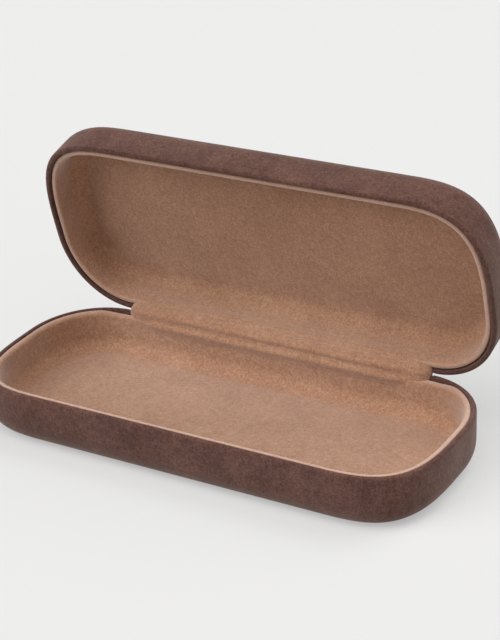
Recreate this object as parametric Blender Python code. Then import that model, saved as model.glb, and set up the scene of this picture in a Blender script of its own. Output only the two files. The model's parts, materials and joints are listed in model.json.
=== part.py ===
"""Hard eyeglasses case with a snap hinge, standing open.

Two pressed-steel half shells are covered outside in brown microsuede and lined inside with
tan microfibre over foam. A seven-knuckle steel hinge joins them along the back, and two C-shaped
spring clips bridge it, so that the lid snaps shut and snaps open.

Frame: metres, +Z up. The origin is the centre of the underside that the case rests on.
+X runs along the case and +Y points to the back, where the hinge is.
Each half is modelled from the hinge axis: depth is measured from the parting plane into the half,
and inset is measured from the outer outline towards the middle.
"""

import math

import bmesh
import bpy
from mathutils import Vector

MM = 0.001

# Driving dimensions
LENGTH = 162 * MM
WIDTH = 68.6 * MM
BASE_DEPTH = 18.4 * MM
LID_DEPTH = 17.5 * MM
OPEN_ANGLE = math.radians(75)

# Outline corners: superellipse quadrants, as semi-axes along X and Y and an exponent
FRONT_CORNER = (31.8 * MM, 38.2 * MM, 3.1)
BACK_CORNER = (24.3 * MM, 27.7 * MM, 2.06)
CORNER_STEPS = 8

# Outer bottom edge: a quarter ellipse between wall and floor
EDGE_INSET = 7.0 * MM
EDGE_RISE = 8.2 * MM
EDGE_STEPS = 4

# Layers, from the outside inwards
LAYER_GAP = 0.2 * MM
COVER_THICK = 0.7 * MM
TURN_IN_THICK = 0.4 * MM
SHELL_THICK = 0.4 * MM
PAD_WALL_THICK = 1.0 * MM
PAD_FLOOR_THICK = 1.5 * MM
LINING_THICK = 0.7 * MM
INNER_RADIUS = 6.0 * MM
RIM_GAP = 0.25 * MM
RIM_OUTER_ROUND = 0.9 * MM
RIM_INNER_ROUND = 0.4 * MM
TURN_IN_DEPTH = 5.0 * MM
LIP_RECESS = 1.1 * MM
LIP_ROUND = 0.35 * MM

SHELL_INSET = COVER_THICK + LAYER_GAP
TURN_IN_INSET = SHELL_INSET + SHELL_THICK + LAYER_GAP
RIM_WIDTH = TURN_IN_INSET + TURN_IN_THICK
PAD_INSET = RIM_WIDTH + LAYER_GAP
PAD_FLOOR = SHELL_INSET + SHELL_THICK + LAYER_GAP
LINING_INSET = PAD_INSET + PAD_WALL_THICK + LAYER_GAP
LINING_FLOOR = PAD_FLOOR + PAD_FLOOR_THICK + LAYER_GAP
INNER_INSET = LINING_INSET + LINING_THICK
INNER_FLOOR = LINING_FLOOR + LINING_THICK

# Hinge
AXIS_INSET = 0.5 * MM
HINGE_Y = WIDTH / 2 - AXIS_INSET
LEAF_THICK = 0.4 * MM
PIN_RADIUS = 1.0 * MM
BORE_RADIUS = 1.08 * MM
KNUCKLE_RADIUS = BORE_RADIUS + LEAF_THICK
KNUCKLE_COUNT = 7
KNUCKLE_SIDES = 18
KNUCKLE_GAP = 0.3 * MM
LEAF_LENGTH = 111 * MM
LEAF_DEPTH = 8.8 * MM
LEAF_EDGE_TRIM = 0.04 * MM
PIN_LENGTH = 113 * MM
RELIEF_LENGTH = 114.2 * MM
RELIEF_DEPTH = 2.4 * MM
PAD_RELIEF_DEPTH = 9.6 * MM
LINING_RELIEF_DEPTH = 2.1 * MM

# Spring clips
SPRING_PLACES = (-31 * MM, 31 * MM)
SPRING_WIDTH = 12 * MM
SPRING_THICK = 0.35 * MM
SPRING_HOOK_DEPTH = 4.5 * MM
SPRING_TIP_SETBACK = 1.25 * MM
SPRING_RADIUS = 2.2 * MM
SPRING_STEPS = 8
WINDOW_WIDTH = 13.2 * MM
WINDOW_HEIGHT = 1.7 * MM

# Rivets
RIVET_PLACES = (-47 * MM, -16 * MM, 16 * MM, 47 * MM)
RIVET_DEPTH = 7.2 * MM
RIVET_SHANK_RADIUS = 0.8 * MM
RIVET_HOLE_RADIUS = 1.1 * MM
RIVET_HEAD_RADIUS = 1.6 * MM
RIVET_HEAD_THICK = 0.5 * MM
RIVET_SIDES = 12

# Flexible strips across the hinge, as arcs about its axis while the case stands open
SPINE_INNER_RADIUS = 1.7 * MM
SPINE_THICK = 0.6 * MM
SPINE_END_ANGLE = math.radians(-74)
STRIP_INNER_RADIUS = 3.3 * MM
STRIP_THICK = 0.6 * MM
STRIP_END_ANGLE = math.radians(208)
STRIP_STEPS = 12

CUT_MARGIN = 2 * MM

MATERIALS = {
    "suede_brown": ((0.115, 0.067, 0.053), 0.92, 0.0),
    "microfibre_tan": ((0.36, 0.225, 0.155), 0.90, 0.0),
    "steel_shell": ((0.42, 0.43, 0.44), 0.45, 1.0),
    "foam_grey": ((0.55, 0.53, 0.50), 0.95, 0.0),
    "hinge_steel": ((0.62, 0.62, 0.63), 0.35, 1.0),
    "spring_steel": ((0.30, 0.32, 0.36), 0.30, 1.0),
}


def clear_scene():
    for obj in list(bpy.data.objects):
        bpy.data.objects.remove(obj, do_unlink=True)


def make_collection(name):
    collection = bpy.data.collections.new(name)
    bpy.context.scene.collection.children.link(collection)
    return collection


def make_material(name):
    color, roughness, metallic = MATERIALS[name]
    material = bpy.data.materials.new(name)
    material.use_nodes = True
    shader = material.node_tree.nodes["Principled BSDF"]
    shader.inputs["Base Color"].default_value = (*color, 1)
    shader.inputs["Roughness"].default_value = roughness
    shader.inputs["Metallic"].default_value = metallic
    return material


def add_object(name, bm, collection, parent, material=None):
    bm.normal_update()
    bmesh.ops.recalc_face_normals(bm, faces=bm.faces)
    mesh = bpy.data.meshes.new(name)
    bm.to_mesh(mesh)
    bm.free()
    mesh.shade_smooth()
    mesh.set_sharp_from_angle(angle=math.radians(30))
    obj = bpy.data.objects.new(name, mesh)
    collection.objects.link(obj)
    obj.parent = parent
    if material:
        mesh.materials.append(material)
    return obj


def add_cutter(name, bm, parent):
    obj = add_object(name, bm, cutters, parent)
    obj.hide_render = True
    obj.display_type = "WIRE"
    return obj


def boolean(obj, operation, other):
    modifier = obj.modifiers.new(f"{operation.lower()} {other.name}", "BOOLEAN")
    modifier.operation = operation
    modifier.object = other


def corner_points(corner, sign_x, sign_y, reverse):
    """Points of one superellipse corner with their outward normals, in outline order."""
    semi_x, semi_y, exponent = corner
    points = []
    for step in range(CORNER_STEPS + 1):
        angle = math.pi / 2 * step / CORNER_STEPS
        along = abs(math.cos(angle)) ** (2 / exponent)
        across = abs(math.sin(angle)) ** (2 / exponent)
        place = Vector((
            sign_x * (LENGTH / 2 - semi_x + semi_x * along),
            sign_y * (WIDTH / 2 - semi_y + semi_y * across),
        ))
        normal = Vector((
            sign_x * along ** (exponent - 1) / semi_x,
            sign_y * across ** (exponent - 1) / semi_y,
        )).normalized()
        points.append((place, normal))
    return points[::-1] if reverse else points


def outline():
    """The case's plan outline, anticlockwise from the right end."""
    return (
        corner_points(BACK_CORNER, 1, 1, False)
        + corner_points(BACK_CORNER, -1, 1, True)
        + corner_points(FRONT_CORNER, -1, -1, False)
        + corner_points(FRONT_CORNER, 1, -1, True)
    )


def wall_to_floor(total, inset, floor, top, centre_inset, centre_rise):
    """(inset, depth) points from a tray surface's top edge, down its wall and round to its floor."""
    points = [(inset, top)]
    for step in range(EDGE_STEPS + 1):
        angle = math.pi / 2 * step / EDGE_STEPS
        points.append((
            centre_inset - (centre_inset - inset) * math.cos(angle),
            total - centre_rise + (centre_rise - floor) * math.sin(angle),
        ))
    return points


def outer_surface(total, inset, floor, top):
    return wall_to_floor(total, inset, floor, top, EDGE_INSET, EDGE_RISE)


def inner_surface(total, inset, floor, top):
    """Lining-side surfaces share one centre for their larger radius."""
    centre_inset = PAD_INSET + PAD_WALL_THICK + INNER_RADIUS
    centre_rise = PAD_FLOOR + PAD_FLOOR_THICK + INNER_RADIUS
    return wall_to_floor(total, inset, floor, top, centre_inset, centre_rise)


def loft(profile, side):
    """A closed tray body: one ring for each profile point, with the floor faces as end caps."""
    bm = bmesh.new()
    points = outline()
    rings = []
    for inset, depth in profile:
        rings.append([
            bm.verts.new((
                place.x - inset * normal.x,
                place.y - inset * normal.y - HINGE_Y,
                side * depth,
            ))
            for place, normal in points
        ])
    for lower, upper in zip(rings, rings[1:]):
        for index in range(len(points)):
            after = (index + 1) % len(points)
            bm.faces.new((lower[index], lower[after], upper[after], upper[index]))
    bm.faces.new(rings[0])
    bm.faces.new(rings[-1])
    return bm


def round_edge(centre_inset, centre_depth, radius, start, end, steps=3):
    """Arc points in (inset, depth). At angle 0 the point lies outward of the centre, at 90 towards the rim."""
    arc = []
    for step in range(steps + 1):
        angle = math.radians(start + (end - start) * step / steps)
        arc.append((
            centre_inset - radius * math.cos(angle),
            centre_depth - radius * math.sin(angle),
        ))
    return arc


def cover_profile(total):
    """Outer face, rounded rim, turned-in edge, the slot that holds the shell's rim, inner face."""
    outside = outer_surface(total, 0, 0, RIM_GAP + RIM_OUTER_ROUND)[::-1]
    outer_round = round_edge(
        RIM_OUTER_ROUND, RIM_GAP + RIM_OUTER_ROUND, RIM_OUTER_ROUND, 0, 90
    )[1:]
    inner_round = round_edge(
        RIM_WIDTH - RIM_INNER_ROUND, RIM_GAP + RIM_INNER_ROUND, RIM_INNER_ROUND, 90, 180, 2
    )
    turned_in = [
        (RIM_WIDTH, TURN_IN_DEPTH),
        (TURN_IN_INSET, TURN_IN_DEPTH),
        (TURN_IN_INSET, RIM_GAP + COVER_THICK),
    ]
    inside = outer_surface(total, COVER_THICK, COVER_THICK, RIM_GAP + COVER_THICK)
    return outside + outer_round + inner_round + turned_in + inside


def shell_profile(total):
    top = RIM_GAP + COVER_THICK + LAYER_GAP
    inner = SHELL_INSET + SHELL_THICK
    outside = outer_surface(total, SHELL_INSET, SHELL_INSET, top)[::-1]
    return outside + outer_surface(total, inner, inner, top)


def padding_profile(total):
    top = LIP_RECESS + LINING_THICK + LAYER_GAP
    outside = outer_surface(total, PAD_INSET, PAD_FLOOR, top)[::-1]
    inside = inner_surface(
        total, PAD_INSET + PAD_WALL_THICK, PAD_FLOOR + PAD_FLOOR_THICK, top
    )
    return outside + inside


def lining_profile(total):
    """Back face, the flange over the padding's edge, its rounded lip, visible face."""
    flange = LIP_RECESS + LINING_THICK
    lip = LIP_RECESS + LIP_ROUND
    back = inner_surface(total, LINING_INSET, LINING_FLOOR, flange)[::-1]
    outer_lip = round_edge(PAD_INSET + LIP_ROUND, lip, LIP_ROUND, 0, 90, 2)
    inner_lip = round_edge(INNER_INSET - LIP_ROUND, lip, LIP_ROUND, 90, 180, 2)
    face = inner_surface(total, INNER_INSET, INNER_FLOOR, lip)[1:]
    return back + [(PAD_INSET, flange)] + outer_lip + inner_lip + face


def box(bm, x_range, inset_range, depth_range, side):
    """A box at the back wall, given by its insets from the outer face and its depths."""
    made = bmesh.ops.create_cube(bm, size=1)["verts"]
    near, far = inset_range
    for vert in made:
        vert.co.x = x_range[0] if vert.co.x < 0 else x_range[1]
        vert.co.y = AXIS_INSET - (far if vert.co.y < 0 else near)
        vert.co.z = side * (depth_range[0] if vert.co.z < 0 else depth_range[1])
    return made


def cylinder_along(bm, axis, radius, low, high, sides, centre=(0, 0, 0)):
    """A cylinder along X or Y between two coordinates on that axis."""
    made = bmesh.ops.create_cone(
        bm, cap_ends=True, segments=sides, radius1=radius, radius2=radius, depth=high - low
    )["verts"]
    for vert in made:
        across, along, up = vert.co.x, vert.co.z + (low + high) / 2, vert.co.y
        vert.co = (along, across, up) if axis == "X" else (across, along, up)
        vert.co += Vector(centre)
    return made


def knuckle_spans(first, grow=0.0):
    """X spans of every second knuckle. The base's leaf has the even ones and the lid's the odd ones."""
    pitch = LEAF_LENGTH / KNUCKLE_COUNT
    spans = []
    for index in range(first, KNUCKLE_COUNT, 2):
        low = -LEAF_LENGTH / 2 + index * pitch
        spans.append((low + KNUCKLE_GAP / 2 - grow, low + pitch - KNUCKLE_GAP / 2 + grow))
    return spans


def rivet_holes(prefix, parent, side, inset_range):
    bm = bmesh.new()
    for place in RIVET_PLACES:
        cylinder_along(
            bm, "Y", RIVET_HOLE_RADIUS,
            AXIS_INSET - inset_range[1], AXIS_INSET - inset_range[0],
            RIVET_SIDES, (place, 0, side * RIVET_DEPTH),
        )
    return add_cutter(f"{prefix}_rivet_holes", bm, parent)


def relief_cutter(name, parent, side, inset_range, depth):
    bm = bmesh.new()
    half = RELIEF_LENGTH / 2
    box(bm, (-half, half), inset_range, (-CUT_MARGIN, depth), side)
    return add_cutter(name, bm, parent)


def make_soft_and_shell_layers(prefix, parent, side, total):
    """Cover, steel shell, padding and lining of one half, each relieved along the hinge."""
    cover = add_object(
        f"{prefix}_cover", loft(cover_profile(total), side), parts, parent, materials["suede_brown"]
    )
    shell = add_object(
        f"{prefix}_shell", loft(shell_profile(total), side), parts, parent, materials["steel_shell"]
    )
    padding = add_object(
        f"{prefix}_padding", loft(padding_profile(total), side), parts, parent, materials["foam_grey"]
    )
    lining = add_object(
        f"{prefix}_lining", loft(lining_profile(total), side), parts, parent,
        materials["microfibre_tan"],
    )
    rim_relief = relief_cutter(
        f"{prefix}_rim_relief", parent, side, (-CUT_MARGIN, RIM_WIDTH + LAYER_GAP / 2), RELIEF_DEPTH
    )
    turn_in_inset = TURN_IN_INSET - LAYER_GAP / 2
    turn_in_relief = relief_cutter(
        f"{prefix}_turn_in_relief", parent, side,
        (turn_in_inset, RIM_WIDTH + LAYER_GAP / 2), TURN_IN_DEPTH + CUT_MARGIN,
    )
    padding_relief = relief_cutter(
        f"{prefix}_padding_relief", parent, side,
        (RIM_WIDTH, LINING_INSET - LAYER_GAP / 2), PAD_RELIEF_DEPTH,
    )
    lining_relief = relief_cutter(
        f"{prefix}_lining_relief", parent, side,
        (RIM_WIDTH, INNER_INSET + CUT_MARGIN), LINING_RELIEF_DEPTH,
    )
    boolean(cover, "DIFFERENCE", rim_relief)
    boolean(cover, "DIFFERENCE", turn_in_relief)
    boolean(shell, "DIFFERENCE", rim_relief)
    boolean(shell, "DIFFERENCE", rivet_holes(f"{prefix}_shell", parent, side, (COVER_THICK, PAD_INSET)))
    boolean(padding, "DIFFERENCE", padding_relief)
    boolean(lining, "DIFFERENCE", lining_relief)


def make_leaf(prefix, parent, side, first_knuckle):
    """Stamped leaf: a plate tangent to its rolled knuckles, with windows for the springs."""
    plate_inset = AXIS_INSET + BORE_RADIUS + LEAF_EDGE_TRIM
    plate_end = AXIS_INSET + KNUCKLE_RADIUS - LEAF_EDGE_TRIM
    bm = bmesh.new()
    half = LEAF_LENGTH / 2 - KNUCKLE_GAP / 2
    box(bm, (-half, half), (plate_inset, plate_end), (0, LEAF_DEPTH), side)
    leaf = add_object(f"hinge_{prefix}_leaf", bm, parts, parent, materials["hinge_steel"])

    bm = bmesh.new()
    through = (plate_inset - CUT_MARGIN, plate_end + CUT_MARGIN)
    for low, high in knuckle_spans(1 - first_knuckle, KNUCKLE_GAP):
        clear_depth = KNUCKLE_RADIUS + KNUCKLE_GAP
        box(bm, (low, high), through, (-CUT_MARGIN, clear_depth), side)
    for place in SPRING_PLACES:
        x_range = (place - WINDOW_WIDTH / 2, place + WINDOW_WIDTH / 2)
        low = SPRING_HOOK_DEPTH - WINDOW_HEIGHT / 2
        box(bm, x_range, through, (low, low + WINDOW_HEIGHT), side)
    boolean(leaf, "DIFFERENCE", add_cutter(f"{prefix}_leaf_windows", bm, parent))

    bm = bmesh.new()
    for low, high in knuckle_spans(first_knuckle):
        cylinder_along(bm, "X", KNUCKLE_RADIUS, low, high, KNUCKLE_SIDES)
    boolean(leaf, "UNION", add_cutter(f"{prefix}_knuckle_blanks", bm, parent))

    bm = bmesh.new()
    reach = LEAF_LENGTH / 2 + CUT_MARGIN
    cylinder_along(bm, "X", BORE_RADIUS, -reach, reach, KNUCKLE_SIDES)
    boolean(leaf, "DIFFERENCE", add_cutter(f"{prefix}_knuckle_bore", bm, parent))
    boolean(leaf, "DIFFERENCE", rivet_holes(f"{prefix}_leaf", parent, side, (COVER_THICK, PAD_INSET + CUT_MARGIN)))


def make_rivets(prefix, parent, side):
    """Each rivet's shank ends flush in the shell, and its head bears on the leaf."""
    head_inset = AXIS_INSET + KNUCKLE_RADIUS + LAYER_GAP
    for number, place in enumerate(RIVET_PLACES, start=1):
        bm = bmesh.new()
        centre = (place, 0, side * RIVET_DEPTH)
        outer_end = AXIS_INSET - (SHELL_INSET + LAYER_GAP / 4)
        inner_end = AXIS_INSET - (head_inset + RIVET_HEAD_THICK / 2)
        cylinder_along(bm, "Y", RIVET_SHANK_RADIUS, inner_end, outer_end, RIVET_SIDES, centre)
        rivet = add_object(
            f"{prefix}_rivet_{number}", bm, parts, parent, materials["hinge_steel"]
        )
        bm = bmesh.new()
        head_low = AXIS_INSET - head_inset - RIVET_HEAD_THICK
        cylinder_along(
            bm, "Y", RIVET_HEAD_RADIUS, head_low, AXIS_INSET - head_inset, RIVET_SIDES, centre
        )
        boolean(rivet, "UNION", add_cutter(f"{prefix}_rivet_head_{number}", bm, parent))


def extrude_section(section, x_low, x_high):
    """A closed section of (y, z) points, as a face extruded along X."""
    bm = bmesh.new()
    face = bm.faces.new([bm.verts.new((x_low, y, z)) for y, z in section])
    moved = bmesh.ops.extrude_face_region(bm, geom=[face])["geom"]
    verts = [item for item in moved if isinstance(item, bmesh.types.BMVert)]
    bmesh.ops.translate(bm, verts=verts, vec=(x_high - x_low, 0, 0))
    return bm


def polar(radius, angle):
    return Vector((radius * math.cos(angle), radius * math.sin(angle)))


def thicken(line, thick):
    """A strip section of constant thickness, on the left of a line of points, with mitred bends."""
    far = []
    for index, point in enumerate(line):
        before = (point - line[index - 1]).normalized() if index else None
        after = (line[index + 1] - point).normalized() if index + 1 < len(line) else None
        sides = [Vector((-along.y, along.x)) for along in (before, after) if along]
        mitre = sum(sides, Vector((0, 0))).normalized()
        far.append(point + thick / mitre.dot(sides[0]) * mitre)
    return list(line) + far[::-1]


def clip_line():
    """Inner line of a C clip while the case stands open: hook, bend round the knuckles, hook."""
    def in_lid(y, z):
        cos, sin = math.cos(OPEN_ANGLE), math.sin(OPEN_ANGLE)
        return Vector((y * cos + z * sin, z * cos - y * sin))

    bend = [
        polar(SPRING_RADIUS, math.pi - OPEN_ANGLE * step / SPRING_STEPS)
        for step in range(SPRING_STEPS + 1)
    ]
    return [
        Vector((-SPRING_TIP_SETBACK, -SPRING_HOOK_DEPTH)),
        Vector((-SPRING_RADIUS, -SPRING_HOOK_DEPTH)),
        *bend,
        in_lid(-SPRING_RADIUS, SPRING_HOOK_DEPTH),
        in_lid(-SPRING_TIP_SETBACK, SPRING_HOOK_DEPTH),
    ]


def make_springs(parent):
    section = thicken(clip_line(), SPRING_THICK)
    for name, place in zip(("left", "right"), SPRING_PLACES):
        bm = extrude_section(section, place - SPRING_WIDTH / 2, place + SPRING_WIDTH / 2)
        add_object(f"hinge_spring_{name}", bm, parts, parent, materials["spring_steel"])


def make_arc_strip(name, parent, inner_radius, thick, start, end, length, material):
    """A flexible strip lying as an arc about the hinge axis."""
    line = [
        polar(inner_radius + thick, start + (end - start) * step / STRIP_STEPS)
        for step in range(STRIP_STEPS + 1)
    ]
    back = [
        polar(inner_radius, end + (start - end) * step / STRIP_STEPS)
        for step in range(STRIP_STEPS + 1)
    ]
    bm = extrude_section(line + back, -length / 2, length / 2)
    add_object(name, bm, parts, parent, material)


def make_pin(parent):
    bm = bmesh.new()
    cylinder_along(bm, "X", PIN_RADIUS, -PIN_LENGTH / 2, PIN_LENGTH / 2, KNUCKLE_SIDES)
    add_object("hinge_pin", bm, parts, parent, materials["spring_steel"])


def add_frame(name, turn):
    """An empty on the hinge axis, which carries one half of the case."""
    frame = bpy.data.objects.new(name, None)
    parts.objects.link(frame)
    frame.location = (0, HINGE_Y, BASE_DEPTH)
    frame.rotation_euler = (turn, 0, 0)
    return frame


def main():
    base_frame = add_frame("base_frame", 0)
    lid_frame = add_frame("lid_frame", -OPEN_ANGLE)
    for prefix, frame, side, total, first_knuckle in (
        ("base", base_frame, -1, BASE_DEPTH, 0),
        ("lid", lid_frame, 1, LID_DEPTH, 1),
    ):
        make_soft_and_shell_layers(prefix, frame, side, total)
        make_leaf(prefix, frame, side, first_knuckle)
        make_rivets(prefix, frame, side)
    make_pin(base_frame)
    make_springs(base_frame)
    spine_length = RELIEF_LENGTH - 2 * KNUCKLE_GAP
    make_arc_strip(
        "spine_cover", base_frame, SPINE_INNER_RADIUS, SPINE_THICK,
        SPINE_END_ANGLE, -OPEN_ANGLE - SPINE_END_ANGLE, spine_length, materials["suede_brown"],
    )
    make_arc_strip(
        "hinge_lining", base_frame, STRIP_INNER_RADIUS, STRIP_THICK,
        STRIP_END_ANGLE, 2 * math.pi - STRIP_END_ANGLE - OPEN_ANGLE, spine_length,
        materials["microfibre_tan"],
    )


clear_scene()
parts = make_collection("eyeglasses_case")
cutters = make_collection("cutters")
materials = {name: make_material(name) for name in MATERIALS}
main()
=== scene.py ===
"""Hard eyeglasses case with a snap hinge, standing open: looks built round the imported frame.

Each half is modelled from the hinge axis: depth is measured from the axis into the half, and inset
from the outer outline towards the middle.
"""

import json
import math
from collections import namedtuple

import bmesh
import bpy
from mathutils import Matrix, Vector, noise


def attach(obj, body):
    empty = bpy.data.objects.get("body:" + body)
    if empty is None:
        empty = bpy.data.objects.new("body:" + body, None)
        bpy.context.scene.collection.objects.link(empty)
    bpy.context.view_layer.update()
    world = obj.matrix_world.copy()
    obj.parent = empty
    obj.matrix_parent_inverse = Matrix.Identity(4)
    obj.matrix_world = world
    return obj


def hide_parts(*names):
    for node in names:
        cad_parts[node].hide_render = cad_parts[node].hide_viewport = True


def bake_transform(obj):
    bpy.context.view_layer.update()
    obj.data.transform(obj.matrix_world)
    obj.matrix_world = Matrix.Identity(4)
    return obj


MM = 0.001

# Sizes shared with the CAD model
LENGTH = 162 * MM
WIDTH = 68.6 * MM
BASE_DEPTH = 18.4 * MM
LID_DEPTH = 17.5 * MM
OPEN_ANGLE = math.radians(75)
AXIS_INSET = 0.5 * MM
HINGE_Y = WIDTH / 2 - AXIS_INSET

# Outline corners: superellipse quadrants, as semi-axes along X and Y and an exponent
FRONT_CORNER = (31.8 * MM, 38.2 * MM, 3.1)
BACK_CORNER = (24.3 * MM, 27.7 * MM, 2.06)
CORNER_STEPS = 30
OUTLINE_SPACING = 1.6 * MM

# Outer bottom edge: a quarter ellipse between wall and floor
EDGE_INSET = 7.0 * MM
EDGE_RISE = 8.2 * MM
EDGE_STEPS = 12

# Layers, from the outside inwards
COVER_THICK = 0.7 * MM
LAYER_GAP = 0.2 * MM
SHELL_THICK = 0.4 * MM
TURN_IN_THICK = 0.3 * MM
TURN_IN_DEPTH = 5.0 * MM
PAD_FLOOR_THICK = 1.5 * MM
LINING_THICK = 0.7 * MM
LINING_INSET = 3.3 * MM
INNER_INSET = LINING_INSET + LINING_THICK
TURN_IN_INSET = COVER_THICK + LAYER_GAP + SHELL_THICK + LAYER_GAP
LINING_FLOOR = TURN_IN_INSET + PAD_FLOOR_THICK + LAYER_GAP
INNER_FLOOR = LINING_FLOOR + LINING_THICK
INNER_RADIUS = 5.9 * MM
INNER_STEPS = 16

# The suede rim, the same on both halves
RIM_WIDTH = TURN_IN_INSET + TURN_IN_THICK
RIM_GAP = 0.25 * MM
RIM_OUTER_ROUND = 0.95 * MM
RIM_INNER_ROUND = 0.55 * MM
ROUND_STEPS = 6

# The lining's lip: its recess below the hinge axis, its gap to the rim and the radii of its two edges.
# Side is -1 for the half below the axis and 1 for the half above it.
Lip = namedtuple("Lip", "side total recess gap outer_round inner_round")
LIPS = {
    "base": Lip(-1, BASE_DEPTH, 0.55 * MM, 0.15 * MM, 0.35 * MM, 1.5 * MM),
    "lid": Lip(1, LID_DEPTH, 1.0 * MM, 0.35 * MM, 0.6 * MM, 0.9 * MM),
}
# Depth below the crest of the lip at which the painted highlight along the lip has faded out
HIGHLIGHT_FADE = 0.8 * MM

# Room for the hinge in the back of each rim: it dips over a reach either side of the middle, with soft
# ends, and what is nearer to the outline than slim_to moves in to there
Relief = namedtuple("Relief", "dip soft reach slim_to")
HINGE_HALF = 57.0 * MM
COVER_RELIEF = Relief(dip=2.3 * MM, soft=1.3 * MM, reach=HINGE_HALF, slim_to=0)
LINING_RELIEFS = {
    "base": Relief(dip=1.2 * MM, soft=9 * MM, reach=69 * MM, slim_to=3.1 * MM),
    "lid": Relief(dip=0.1 * MM, soft=10 * MM, reach=HINGE_HALF, slim_to=3.1 * MM),
}
# The dip fades out at this depth
RELIEF_DEPTH = 6 * MM
SLIM_SOFT = 6 * MM

# How far each ring of a tray's flat end is pulled towards the tray's middle line
CAP_RINGS = (0.03, 0.1, 0.25, 0.4, 0.55, 0.7, 0.85, 0.95)
# Half length of that middle line, along the case, and how much shorter its pull is at the ends
CAP_REACH = LENGTH / 2 - WIDTH / 2
CAP_SHRINK = 0.92

# Strips across the hinge: thickness, columns along the case and where the ends begin to close
STRIP_THICK = 0.3 * MM
STRIP_COLUMNS = 200
STRIP_CLOSES_FROM = 52.5 * MM
SPINE_THICK = 0.6 * MM
SPINE_COLUMNS = 120
SPINE_CLOSES_FROM = 53 * MM
# A strip's long edges have this share of its thickness, which grows by thickening across the strip
EDGE_SHARE = 0.3
THICKENING = 4
# Keeps the last column from closing to a point
END_MARGIN = 1.0005

# Spring clips
SPRING_PLACES = {"left": -31 * MM, "right": 31 * MM}
SPRING_WIDTH = 12 * MM
SPRING_THICK = 0.35 * MM
SPRING_COLUMNS = 12
SPRING_STEPS = 16

# Camera: azimuth, elevation and roll in degrees, distance and aim in metres, focal length in image heights
CAMERA_AZIMUTH = 30.63
CAMERA_ELEVATION = 26.15
CAMERA_ROLL = -2.65
CAMERA_DISTANCE = 0.650
CAMERA_AIM = (-0.03422, 0.07560, 0)
CAMERA_FOCAL = 2.786
CAMERA_CLIP = (0.01, 20)
SENSOR = 36

# Large soft lights from far away. Azimuth 0 is the front and 90 the right, in degrees, and spread is the
# angle that the light covers, seen from the case.
Light = namedtuple("Light", "name azimuth elevation spread strength")
LIGHTS = (
    Light("left_light", -43, 35, 50, 2.45),
    Light("right_light", 70, 35, 50, 0.95),
    Light("overhead_light", 10, 75, 45, 1.4),
    Light("back_light", 150, 52, 45, 1.8),
)
LIGHT_COLOR = (1, 0.995, 0.985)

# The floor glows a little, which keeps the shadows faint
FLOOR_HALF = 4
FLOOR_SHADE = (0.31, 0.31, 0.309)
FLOOR_GLOW = 0.389


# ---------------------------------------------------------------- outline and trays

def corner_points(corner, sign_x, sign_y):
    """One corner's points with outward normals, from the end of the case round to its long side."""
    semi_x, semi_y, exponent = corner
    points = []
    for step in range(CORNER_STEPS + 1):
        angle = math.pi / 2 * step / CORNER_STEPS
        along = abs(math.cos(angle)) ** (2 / exponent)
        across = abs(math.sin(angle)) ** (2 / exponent)
        place = Vector((
            sign_x * (LENGTH / 2 - semi_x + semi_x * along),
            sign_y * (WIDTH / 2 - semi_y + semi_y * across),
        ))
        normal = Vector((
            sign_x * along ** (exponent - 1) / semi_x,
            sign_y * across ** (exponent - 1) / semi_y,
        )).normalized()
        points.append((place, normal))
    return points


def outline():
    """Outline points with outward normals, with the straight runs divided as finely as the corners."""
    coarse = (
        corner_points(BACK_CORNER, 1, 1)
        + corner_points(BACK_CORNER, -1, 1)[::-1]
        + corner_points(FRONT_CORNER, -1, -1)
        + corner_points(FRONT_CORNER, 1, -1)[::-1]
    )
    fine = []
    for (place, normal), (after, after_normal) in zip(coarse, coarse[1:] + coarse[:1]):
        parts = max(1, math.ceil((after - place).length / OUTLINE_SPACING))
        for part in range(parts):
            share = part / parts
            fine.append((
                place.lerp(after, share),
                normal.lerp(after_normal, share).normalized(),
            ))
    return fine


def arc(centre_inset, centre_depth, radius, start, end):
    """(inset, depth) points. At angle 0 a point lies outward of the centre, and at 90 towards the rim."""
    points = []
    for step in range(ROUND_STEPS + 1):
        angle = math.radians(start + (end - start) * step / ROUND_STEPS)
        points.append((
            centre_inset - radius * math.cos(angle),
            centre_depth - radius * math.sin(angle),
        ))
    return points


def wall_to_floor(total, inset, floor, top, centre_inset, centre_rise, steps):
    """(inset, depth) points down a wall and round a quarter ellipse to the floor of a tray."""
    points = [(inset, top), (inset, (top + total - centre_rise) / 2)]
    for step in range(steps + 1):
        angle = math.pi / 2 * step / steps
        points.append((
            centre_inset - (centre_inset - inset) * math.cos(angle),
            total - centre_rise + (centre_rise - floor) * math.sin(angle),
        ))
    return points


def outer_surface(total, inset, floor, top):
    return wall_to_floor(total, inset, floor, top, EDGE_INSET, EDGE_RISE, EDGE_STEPS)


def inner_surface(total, inset, floor, top):
    centre_inset = LINING_INSET + INNER_RADIUS
    centre_rise = LINING_FLOOR + INNER_RADIUS
    return wall_to_floor(total, inset, floor, top, centre_inset, centre_rise, INNER_STEPS)


def smooth_share(value, start, end):
    """0 before start, 1 past end and smooth between."""
    share = max(0.0, min(1.0, (value - start) / (end - start)))
    return share * share * (3 - 2 * share)


def hinge_share(place, reach, soft):
    """1 along the hinge, falling smoothly to 0 over a soft length before the reach, and 0 at the front."""
    if place.y < 0:
        return 0.0
    return 1 - smooth_share(abs(place.x), reach - soft, reach)


def relieved_depth(relief, place, depth):
    if depth > RELIEF_DEPTH:
        return depth
    share = hinge_share(place, relief.reach, relief.soft)
    return depth + relief.dip * share * (1 - depth / RELIEF_DEPTH)


def relieved_inset(relief, place, inset):
    if inset >= relief.slim_to:
        return inset
    return inset + (relief.slim_to - inset) * hinge_share(place, HINGE_HALF, SLIM_SOFT)


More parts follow.
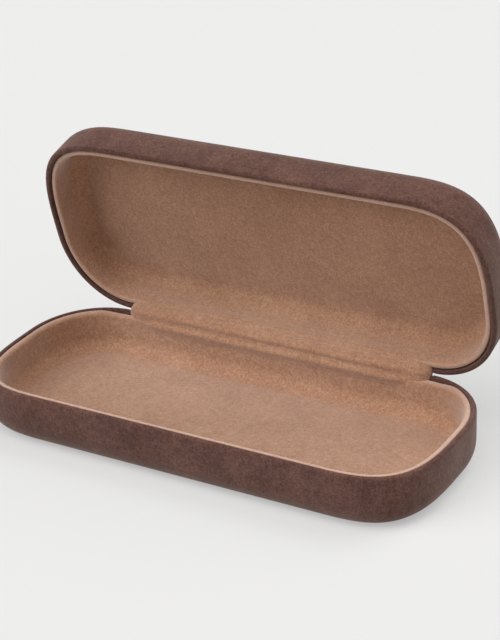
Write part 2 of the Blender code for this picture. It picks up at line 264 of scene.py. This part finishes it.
def make_mesh(name, bm):
    """Turns a bmesh into a smooth object, with its faces pointing out."""
    bm.normal_update()
    bmesh.ops.recalc_face_normals(bm, faces=bm.faces)
    mesh = bpy.data.meshes.new(name)
    bm.to_mesh(mesh)
    bm.free()
    mesh.shade_smooth()
    obj = bpy.data.objects.new(name, mesh)
    bpy.context.scene.collection.objects.link(obj)
    return obj


def join_rows(bm, rows):
    """Closes a stack of equal rings into one skin, with a face at either end."""
    for lower, upper in zip(rows, rows[1:]):
        for index in range(len(lower)):
            after = (index + 1) % len(lower)
            bm.faces.new((lower[index], lower[after], upper[after], upper[index]))
    bm.faces.new(rows[0])
    bm.faces.new(rows[-1])


def pull_in(point, share):
    """A point moved towards the tray's middle line."""
    middle = Vector((max(-CAP_REACH, min(CAP_REACH, point.x)) * CAP_SHRINK, 0))
    return point.lerp(middle, share)


def loft(name, profile, side, relief, crest=None):
    """A tray in its own hinge frame, with a profile of (inset, depth) points carried round the outline.
    The point attribute named rolled marks the painted highlight along the lip: it is 1 at the depth of the
    crest and fades to 0 below it."""
    points = outline()
    bm = bmesh.new()
    rolled = bm.verts.layers.float.new("rolled")
    rows = []

    def add_ring(places, depths):
        rows.append([
            bm.verts.new((place.x, place.y - HINGE_Y, side * depth))
            for place, depth in zip(places, depths)
        ])

    def places_at(inset):
        return [place - relieved_inset(relief, place, inset) * normal for place, normal in points]

    def add_flat_end(inset, depth, shares):
        for share in shares:
            places = [pull_in(place, share) for place in places_at(inset)]
            add_ring(places, [depth] * len(points))

    add_flat_end(*profile[0], reversed(CAP_RINGS))
    for inset, depth in profile:
        add_ring(places_at(inset), [relieved_depth(relief, place, depth) for place, _ in points])
        # Painted highlight: marks the lip's crest, where the cloth colour is painted lighter
        if crest is not None:
            for vert in rows[-1]:
                vert[rolled] = max(0.0, 1 - (depth - crest) / HIGHLIGHT_FADE)
    add_flat_end(*profile[-1], CAP_RINGS)
    join_rows(bm, rows)
    return make_mesh(name, bm)


def cover_profile(total):
    """Outside of the suede, over the rolled rim, down its turned-in edge and back along the shell."""
    rim_crest = RIM_GAP + RIM_OUTER_ROUND
    outside = outer_surface(total, 0, 0, rim_crest)[::-1]
    rim = arc(RIM_OUTER_ROUND, rim_crest, RIM_OUTER_ROUND, 0, 90)[1:]
    rim += arc(RIM_WIDTH - RIM_INNER_ROUND, RIM_GAP + RIM_INNER_ROUND, RIM_INNER_ROUND, 90, 180)
    partway_down = 0.6 * TURN_IN_DEPTH
    turned_in = [
        (RIM_WIDTH, partway_down),
        (RIM_WIDTH, TURN_IN_DEPTH),
        (TURN_IN_INSET, TURN_IN_DEPTH),
        (TURN_IN_INSET, RIM_GAP + COVER_THICK),
    ]
    inside = outer_surface(total, COVER_THICK, COVER_THICK, RIM_GAP + COVER_THICK)
    return outside + rim + turned_in + inside


def lining_profile(lip):
    """Back of the lining, its flange, over the lip and down the face that shows."""
    outer_inset = RIM_WIDTH + lip.gap
    flange = lip.recess + LINING_THICK
    inner_edge = lip.recess + lip.inner_round
    back = inner_surface(lip.total, LINING_INSET, LINING_FLOOR, flange)[::-1]
    crown = arc(outer_inset + lip.outer_round, lip.recess + lip.outer_round, lip.outer_round, 0, 90)
    crown += arc(INNER_INSET - lip.inner_round, inner_edge, lip.inner_round, 90, 180)
    face = inner_surface(lip.total, INNER_INSET, INNER_FLOOR, inner_edge)[1:]
    return back + [(outer_inset, flange)] + crown + face


# ---------------------------------------------------------------- strips across the hinge

# The sections below are (y, z) points in mm, round the hinge axis, with the case open

def polar(radius, degrees):
    angle = math.radians(degrees)
    return Vector((radius * math.cos(angle), radius * math.sin(angle)))


def in_lid(y, z):
    """A point of the lid's hinge frame, in the base's, with the case open."""
    cos = math.cos(OPEN_ANGLE)
    sin = math.sin(OPEN_ANGLE)
    return Vector((y * cos + z * sin, z * cos - y * sin))


# The hinge lining's section: up the base's wall, over its ridge, round the spring clips, through a groove
# and up the lid's wall. Each bend radius is for one step round the clips.
LINING_BEND = (3.12, 3.16, 3.12, 3.14, 3.10, 3.00)
BEND_START = 177
BEND_STEP = 16
MIDDLE_KNOTS = (
    [Vector(p) for p in (
        (-3.20, -6.4), (-3.50, -5.2), (-3.60, -4.2), (-3.92, -3.35), (-4.02, -2.6), (-3.70, -1.95),
        (-3.28, -1.45), (-3.10, -0.7),
    )]
    + [polar(radius, BEND_START - BEND_STEP * index) for index, radius in enumerate(LINING_BEND)]
    + [in_lid(*p) for p in ((-3.34, 1.2), (-3.57, 1.9), (-3.58, 3.0), (-3.52, 4.5), (-3.20, 6.0))]
)
# Its section at the strip's ends, sunk into both lips
END_BEND = 2.62
END_KNOTS = (
    [Vector(p) for p in (
        (-2.8, -6.4), (-2.9, -5.2), (-2.9, -4.2), (-2.87, -3.35), (-2.82, -2.6), (-2.77, -2.05),
        (-2.72, -1.45), (-2.64, -0.7),
    )]
    + [polar(END_BEND, BEND_START - BEND_STEP * index) for index in range(len(LINING_BEND))]
    + [in_lid(*p) for p in ((-2.72, 1.2), (-2.82, 1.7), (-2.9, 2.6), (-2.9, 4.5), (-2.8, 6.0))]
)
KNOT_STEPS = 4
# The strip goes over from one section to the other between these distances from its middle
END_SECTION = (42 * MM, 54 * MM)

# Lengthwise folds and puckers of the hinge lining: heights in mm, and how many of them there are along a
# metre, or across the strip. The folds lie round its middle.
FOLD_HEIGHT = 0.11
FOLD_RADIANS_ACROSS = 42
FOLD_CHANGES = 35
FOLD_MIDDLE = 0.52
FOLD_SPREAD = 0.20
WANDER = 0.05
WANDER_CHANGES = 22
PUCKER_HEIGHT = 0.09
LOOSE_HEIGHT = 0.05
PUCKER_CHANGES = 70
PUCKERS_ACROSS = 8
# How much flatter the folds are where the strip sinks into the lips
END_FLATTENING = 0.7

# The spine cover's creases
CREASE_HEIGHT = 0.12
CREASE_CHANGES = 50
CREASES_ACROSS = 6
CREASE_SPREAD = 0.25


def smooth_line(knots):
    """Catmull-Rom points through the knots."""
    points = []
    ends = [2 * knots[0] - knots[1]] + list(knots) + [2 * knots[-1] - knots[-2]]
    for a, b, c, d in zip(ends, ends[1:], ends[2:], ends[3:]):
        for step in range(KNOT_STEPS):
            t = step / KNOT_STEPS
            points.append(0.5 * (
                2 * b + (c - a) * t + (2 * a - 5 * b + 4 * c - d) * t**2
                + (3 * b - a - 3 * c + d) * t**3
            ))
    return points + [knots[-1]]


def hinge_lining_line(x):
    """The strip's section at x, with soft lengthwise folds that wander and slight puckers."""
    end = smooth_share(abs(x), *END_SECTION)
    knots = [middle.lerp(last, end) for middle, last in zip(MIDDLE_KNOTS, END_KNOTS)]
    line = smooth_line(knots)
    folded = []
    for index, point in enumerate(line):
        across = index / (len(line) - 1)
        middle = math.exp(-(((across - FOLD_MIDDLE) / FOLD_SPREAD) ** 4))
        wander = WANDER * noise.noise(Vector((x * WANDER_CHANGES, 3.1, 0)))
        change = 0.6 + 0.9 * noise.noise(Vector((x * FOLD_CHANGES, 7.7, 0)))
        fold = math.sin((across + wander) * FOLD_RADIANS_ACROSS) * change
        pucker = noise.noise(Vector((x * PUCKER_CHANGES, across * PUCKERS_ACROSS, 1.7)))
        out = (FOLD_HEIGHT * fold + PUCKER_HEIGHT * pucker) * middle + LOOSE_HEIGHT * pucker
        folded.append((point + point.normalized() * out * (1 - END_FLATTENING * end)) * MM)
    return folded


def spine_line(x):
    """The spine cover's section at x: up the base's back, round the knuckles and up the lid's back, the
    same on both sides of the hinge's middle, with fine creases."""
    middle_angle = -OPEN_ANGLE / 2
    half = [Vector((0.10, -4.4)), Vector((0.12, -3.2)), polar(2.62, -80), polar(2.5, -66), polar(2.42, -52)]
    other = []
    for point in reversed(half):
        angle = 2 * middle_angle - math.atan2(point.y, point.x)
        other.append(point.length * Vector((math.cos(angle), math.sin(angle))))
    points = smooth_line(half + [polar(2.4, math.degrees(middle_angle))] + other)
    line = []
    for index, point in enumerate(points):
        across = index / (len(points) - 1)
        middle = math.exp(-(((across - 0.5) / CREASE_SPREAD) ** 2))
        crease = noise.noise(Vector((x * CREASE_CHANGES, across * CREASES_ACROSS, 8.3)))
        line.append((point + point.normalized() * CREASE_HEIGHT * crease * middle) * MM)
    return line


def spring_line(x):
    """A spring clip's section, the same at every x: a hook, the bend round the knuckles and a hook."""
    turn = math.degrees(OPEN_ANGLE)
    bend = [polar(2.2, 180 - turn * step / SPRING_STEPS) for step in range(SPRING_STEPS + 1)]
    hooks = [Vector((-1.25, -4.5)), Vector((-1.9, -4.5)), Vector((-2.2, -4.2))]
    line = hooks + bend + [in_lid(hook.x, -hook.y) for hook in reversed(hooks)]
    return [point * MM for point in line]


def end_scale(x, half_length, closes_from):
    """1 over most of a strip, falling to nearly 0 at its ends along an ellipse."""
    share = min(1.0, max(0.0, abs(x) - closes_from) / (half_length * END_MARGIN - closes_from))
    return math.sqrt(1 - share**2)


def sweep_strip(name, line_at, thick, half_length, columns, closes_from=None):
    """A strip along the case. One face follows line_at(x), and the other lies to the left of that line's
    direction, seen with y to the right and z up. The strip's long edges thin out, so that it runs into
    what it lies on, and past closes_from it closes on the hinge axis."""
    bm = bmesh.new()
    rings = []
    for column in range(columns + 1):
        # Columns crowd towards the ends, where the strip rounds off
        x = half_length * math.sin((column / columns - 0.5) * math.pi)
        size = end_scale(x, half_length, closes_from) if closes_from else 1.0
        line = line_at(x)
        other_face = []
        for index, point in enumerate(line):
            along = line[min(index + 1, len(line) - 1)] - line[max(index - 1, 0)]
            leftwards = Vector((-along.y, along.x)).normalized()
            across = index / (len(line) - 1)
            share = min(1.0, EDGE_SHARE + THICKENING * min(across, 1 - across))
            other_face.append(point + leftwards * thick * share)
        rings.append([bm.verts.new((x, p.x * size, p.y * size)) for p in line + other_face[::-1]])
    join_rows(bm, rings)
    return make_mesh(name, bm)


# ---------------------------------------------------------------- materials

class Graph:
    """Short names for building a material's nodes."""

    def __init__(self, name):
        self.material = bpy.data.materials.new(name)
        self.material.use_nodes = True
        self.nodes = self.material.node_tree.nodes
        self.links = self.material.node_tree.links
        self.shader = self.nodes["Principled BSDF"]
        self.coords = self.nodes.new("ShaderNodeTexCoord").outputs["Object"]

    def feed(self, socket, value):
        """Sets a socket to a number, or links an output to it."""
        if isinstance(value, (int, float)):
            socket.default_value = value
        else:
            self.links.new(value, socket)

    def noise(self, scale, detail, rough, vector=None, distortion=0.0):
        node = self.nodes.new("ShaderNodeTexNoise")
        node.inputs["Scale"].default_value = scale
        node.inputs["Detail"].default_value = detail
        node.inputs["Roughness"].default_value = rough
        node.inputs["Distortion"].default_value = distortion
        self.links.new(vector or self.coords, node.inputs["Vector"])
        return node.outputs["Fac"]

    def stretched(self, scale):
        node = self.nodes.new("ShaderNodeMapping")
        node.inputs["Scale"].default_value = scale
        self.links.new(self.coords, node.inputs["Vector"])
        return node.outputs["Vector"]

    def ramp(self, value, spread, low, high):
        """Goes from the low to the high colour over a spread either side of 0.5."""
        node = self.nodes.new("ShaderNodeValToRGB")
        first, last = node.color_ramp.elements
        first.position = 0.5 - spread
        first.color = (*low, 1)
        last.position = 0.5 + spread
        last.color = (*high, 1)
        self.links.new(value, node.inputs["Fac"])
        return node.outputs["Color"]

    def attribute(self, name):
        node = self.nodes.new("ShaderNodeAttribute")
        node.attribute_name = name
        return node.outputs["Fac"]

    def blend(self, mode, factor, a, b):
        node = self.nodes.new("ShaderNodeMix")
        node.data_type = "RGBA"
        node.blend_type = mode
        self.feed(node.inputs["Factor"], factor)
        # The node's sockets for colour go by number, as those for numbers have the same names
        self.links.new(a, node.inputs[6])
        self.links.new(b, node.inputs[7])
        return node.outputs[2]

    def math(self, operation, *values):
        node = self.nodes.new("ShaderNodeMath")
        node.operation = operation
        for socket, value in zip(node.inputs, values):
            self.feed(socket, value)
        return node.outputs["Value"]

    def bump(self, height, distance, strength, normal=None):
        node = self.nodes.new("ShaderNodeBump")
        node.inputs["Distance"].default_value = distance
        node.inputs["Strength"].default_value = strength
        self.links.new(height, node.inputs["Height"])
        if normal:
            self.links.new(normal, node.inputs["Normal"])
        return node.outputs["Normal"]

    def set(self, **values):
        for name, value in values.items():
            self.shader.inputs[name.replace("_", " ")].default_value = value

    def connect(self, output, name):
        self.links.new(output, self.shader.inputs[name])


def lit(change):
    """A factor that lightens or darkens brown cloth. A lit pile is paler, so green and blue change most."""
    return (1 + change, 1 + 1.3 * change, 1 + 1.5 * change)


# Short-pile cloth. The fine grain is the same on both cloths, in changes per metre.
GRAIN_SCALE = 1700
COARSE_GRAIN = 0.4
COARSE_SHARE = 0.55
PATCH_SPREAD = 0.16
GRAIN_SPREAD = 0.18
DRIFT_SPREAD = 0.15
DRIFT = 0.055
# Strength and spread of the painted highlight along the lips
HIGHLIGHT_LIFT = 0.45
HIGHLIGHT_VARIATION = 1.06


def napped_cloth(name, dark, light, edge, contrast, patches, sheen, tint):
    """Short-pile cloth: a fine grain, soft patches where the pile leans another way, a sheen, and a painted
    highlight, a lighter tone of the colour edge along the crest of a rolled lip. Patches says how many
    there are in a metre, and contrast how strong the grain is."""
    g = Graph(name)
    lean = g.noise(patches, 4, 0.62, distortion=0.6)
    color = g.ramp(lean, PATCH_SPREAD, dark, light)
    drift = g.ramp(g.noise(patches * 0.3, 2, 0.5), DRIFT_SPREAD, lit(-DRIFT), lit(DRIFT))
    color = g.blend("MULTIPLY", 1.0, color, drift)
    for scale, share in ((GRAIN_SCALE, 1.0), (GRAIN_SCALE * COARSE_GRAIN, COARSE_SHARE)):
        depth = contrast * share
        shade = g.ramp(g.noise(scale, 2, 0.6), GRAIN_SPREAD, lit(-depth), lit(depth))
        color = g.blend("MULTIPLY", 1.0, color, shade)
    # Painted highlight: stretched holds a paler cloth colour, mixed in along the lip's crest
    highlight_share = g.math("MULTIPLY", g.attribute("rolled"), HIGHLIGHT_LIFT)
    stretched = g.ramp(lean, PATCH_SPREAD, edge, [c * HIGHLIGHT_VARIATION for c in edge])
    g.connect(g.blend("MIX", highlight_share, color, stretched), "Base Color")
    soft = g.bump(g.noise(patches * 2.3, 3, 0.6), 0.35 * MM, 0.35)
    pile = g.bump(g.noise(GRAIN_SCALE * 0.8, 3, 0.8), 0.22 * MM, 0.8, soft)
    g.connect(pile, "Normal")
    g.set(Roughness=0.95, Sheen_Weight=sheen, Sheen_Roughness=0.45, Sheen_Tint=(*tint, 1))
    g.set(Specular_IOR_Level=0.1)
    return g.material


def metal(name, color, rough, streak):
    """Metal with fine streaks along the case, which make it rougher by up to streak."""
    g = Graph(name)
    streaks = g.noise(900, 4, 0.6, g.stretched((0.05, 1, 1)))
    g.connect(g.ramp(streaks, 0.2, [c * 0.85 for c in color], color), "Base Color")
    g.connect(g.math("MULTIPLY_ADD", streaks, streak, rough), "Roughness")
    g.connect(g.bump(streaks, 0.04 * MM, 0.3), "Normal")
    g.set(Metallic=1.0)
    return g.material


def foam(name):
    g = Graph(name)
    cells = g.noise(1600, 3, 0.7)
    g.connect(g.ramp(cells, 0.2, (0.44, 0.42, 0.40), (0.60, 0.58, 0.55)), "Base Color")
    g.connect(g.bump(cells, 0.2 * MM, 0.6), "Normal")
    g.set(Roughness=0.95)
    return g.material


# ---------------------------------------------------------------- the object

def place(obj, body):
    """Moves a piece from its hinge frame to where its body holds it with the case open, and rides it."""
    turn = -OPEN_ANGLE if body == "lid" else 0
    axis_place = Matrix.Translation((0, HINGE_Y, BASE_DEPTH))
    obj.data.transform(axis_place @ Matrix.Rotation(turn, 4, "X"))
    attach(obj, body)


def across_hinge(obj):
    """Moves a piece from the hinge axis's frame to its place at the hinge, with the case open."""
    obj.data.transform(Matrix.Translation((0, HINGE_Y, BASE_DEPTH)))
    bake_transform(obj)


def build_cover(body, suede):
    lip = LIPS[body]
    cover = loft(f"{body}_suede_cover", cover_profile(lip.total), lip.side, COVER_RELIEF)
    cover.data.materials.append(suede)
    place(cover, body)
    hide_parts(f"{body}_cover")


def build_lining(body, tan):
    lip = LIPS[body]
    lining = loft(
        f"{body}_microfibre_lining", lining_profile(lip), lip.side, LINING_RELIEFS[body], lip.recess,
    )
    lining.data.materials.append(tan)
    place(lining, body)
    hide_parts(f"{body}_lining")


def build_hinge_lining(tan):
    strip = sweep_strip(
        "hinge_lining_strip", hinge_lining_line, STRIP_THICK, HINGE_HALF, STRIP_COLUMNS, STRIP_CLOSES_FROM,
    )
    strip.data.materials.append(tan)
    across_hinge(strip)
    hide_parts("hinge_lining")


def build_spine(suede):
    spine = sweep_strip(
        "suede_spine", spine_line, SPINE_THICK, HINGE_HALF, SPINE_COLUMNS, SPINE_CLOSES_FROM,
    )
    spine.data.materials.append(suede)
    across_hinge(spine)
    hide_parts("spine_cover")


def build_springs(steel):
    for side, x in SPRING_PLACES.items():
        spring = sweep_strip(
            f"spring_clip_{side}", spring_line, SPRING_THICK, SPRING_WIDTH / 2, SPRING_COLUMNS,
        )
        spring.data.transform(Matrix.Translation((x, 0, 0)))
        spring.data.materials.append(steel)
        across_hinge(spring)
        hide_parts(f"hinge_spring_{side}")


def finish_cad_nodes(frame, finishes):
    """Gives the CAD nodes that stay the material of their slot."""
    slots = {part["node"]: part["material_slot"] for part in frame["record"]["subparts"]}
    for node, obj in frame["nodes"].items():
        if slots[node] in finishes:
            obj.data.materials.clear()
            obj.data.materials.append(finishes[slots[node]])


# ---------------------------------------------------------------- the studio

def direction(azimuth, elevation):
    """Unit vector from the case towards an azimuth and an elevation in degrees; azimuth 0 is the front."""
    azimuth = math.radians(azimuth)
    elevation = math.radians(elevation)
    return Vector((
        math.sin(azimuth) * math.cos(elevation),
        -math.cos(azimuth) * math.cos(elevation),
        math.sin(elevation),
    ))


def build_floor():
    bm = bmesh.new()
    bmesh.ops.create_grid(bm, x_segments=2, y_segments=2, size=FLOOR_HALF)
    floor = make_mesh("studio_floor", bm)
    g = Graph("studio_floor")
    g.set(Base_Color=(*FLOOR_SHADE, 1), Roughness=1.0, Specular_IOR_Level=0.0)
    g.set(Emission_Color=(1, 1, 1, 1), Emission_Strength=FLOOR_GLOW)
    floor.data.materials.append(g.material)


def build_lights():
    """The soft lights, in a studio that is otherwise dark."""
    world = bpy.data.worlds.new("studio")
    world.use_nodes = True
    world.node_tree.nodes["Background"].inputs["Strength"].default_value = 0
    bpy.context.scene.world = world
    for light in LIGHTS:
        data = bpy.data.lights.new(light.name, "SUN")
        data.angle = math.radians(light.spread)
        data.energy = light.strength
        data.color = LIGHT_COLOR
        lamp = bpy.data.objects.new(light.name, data)
        lamp.rotation_mode = "QUATERNION"
        lamp.rotation_quaternion = direction(light.azimuth, light.elevation).to_track_quat("Z", "Y")
        bpy.context.scene.collection.objects.link(lamp)
    bpy.context.scene.view_settings.view_transform = "Standard"


def build_camera():
    back = direction(CAMERA_AZIMUTH, CAMERA_ELEVATION)
    right = Vector((math.cos(math.radians(CAMERA_AZIMUTH)), math.sin(math.radians(CAMERA_AZIMUTH)), 0))
    up = back.cross(right)
    roll = Matrix.Rotation(math.radians(CAMERA_ROLL), 4, back)
    axes = Matrix((roll @ right, roll @ up, back)).transposed().to_4x4()
    data = bpy.data.cameras.new("camera")
    data.sensor_width = SENSOR
    data.lens = CAMERA_FOCAL * SENSOR
    data.clip_start, data.clip_end = CAMERA_CLIP
    camera = bpy.data.objects.new("camera", data)
    camera.matrix_world = Matrix.Translation(Vector(CAMERA_AIM) + back * CAMERA_DISTANCE) @ axes
    bpy.context.scene.collection.objects.link(camera)
    bpy.context.scene.camera = camera


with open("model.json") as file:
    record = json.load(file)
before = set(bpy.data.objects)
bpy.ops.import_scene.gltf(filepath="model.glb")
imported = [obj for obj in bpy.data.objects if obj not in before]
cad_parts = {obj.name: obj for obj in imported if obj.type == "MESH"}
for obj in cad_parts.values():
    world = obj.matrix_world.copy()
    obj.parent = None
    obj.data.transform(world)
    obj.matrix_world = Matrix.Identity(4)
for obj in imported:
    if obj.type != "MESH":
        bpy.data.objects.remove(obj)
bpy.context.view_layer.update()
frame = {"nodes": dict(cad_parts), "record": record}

suede = napped_cloth(
    "brown_microsuede",
    dark=(0.074, 0.034, 0.027),
    light=(0.106, 0.051, 0.039),
    # edge is the paler colour of the painted highlight along the lips
    edge=(0.116, 0.059, 0.049),
    contrast=0.27,
    patches=85,
    sheen=0.28,
    tint=(0.9, 0.76, 0.70),
)
tan = napped_cloth(
    "tan_microfibre",
    dark=(0.340, 0.184, 0.112),
    light=(0.380, 0.212, 0.133),
    # edge is the paler colour of the painted highlight along the lips
    edge=(0.51, 0.345, 0.275),
    contrast=0.17,
    patches=70,
    sheen=0.65,
    tint=(1.0, 1.0, 1.0),
)
spring_steel = metal("spring_steel", (0.33, 0.35, 0.39), 0.25, 0.12)

for body in LIPS:
    build_cover(body, suede)
    build_lining(body, tan)
build_hinge_lining(tan)
build_spine(suede)
build_springs(spring_steel)
finish_cad_nodes(frame, {
    "hinge_steel": metal("hinge_plate", (0.62, 0.62, 0.63), 0.30, 0.12),
    "spring_steel": spring_steel,
    "steel_shell": metal("pressed_shell", (0.45, 0.46, 0.47), 0.40, 0.15),
    "foam_grey": foam("foam"),
})
build_floor()
build_lights()
build_camera()
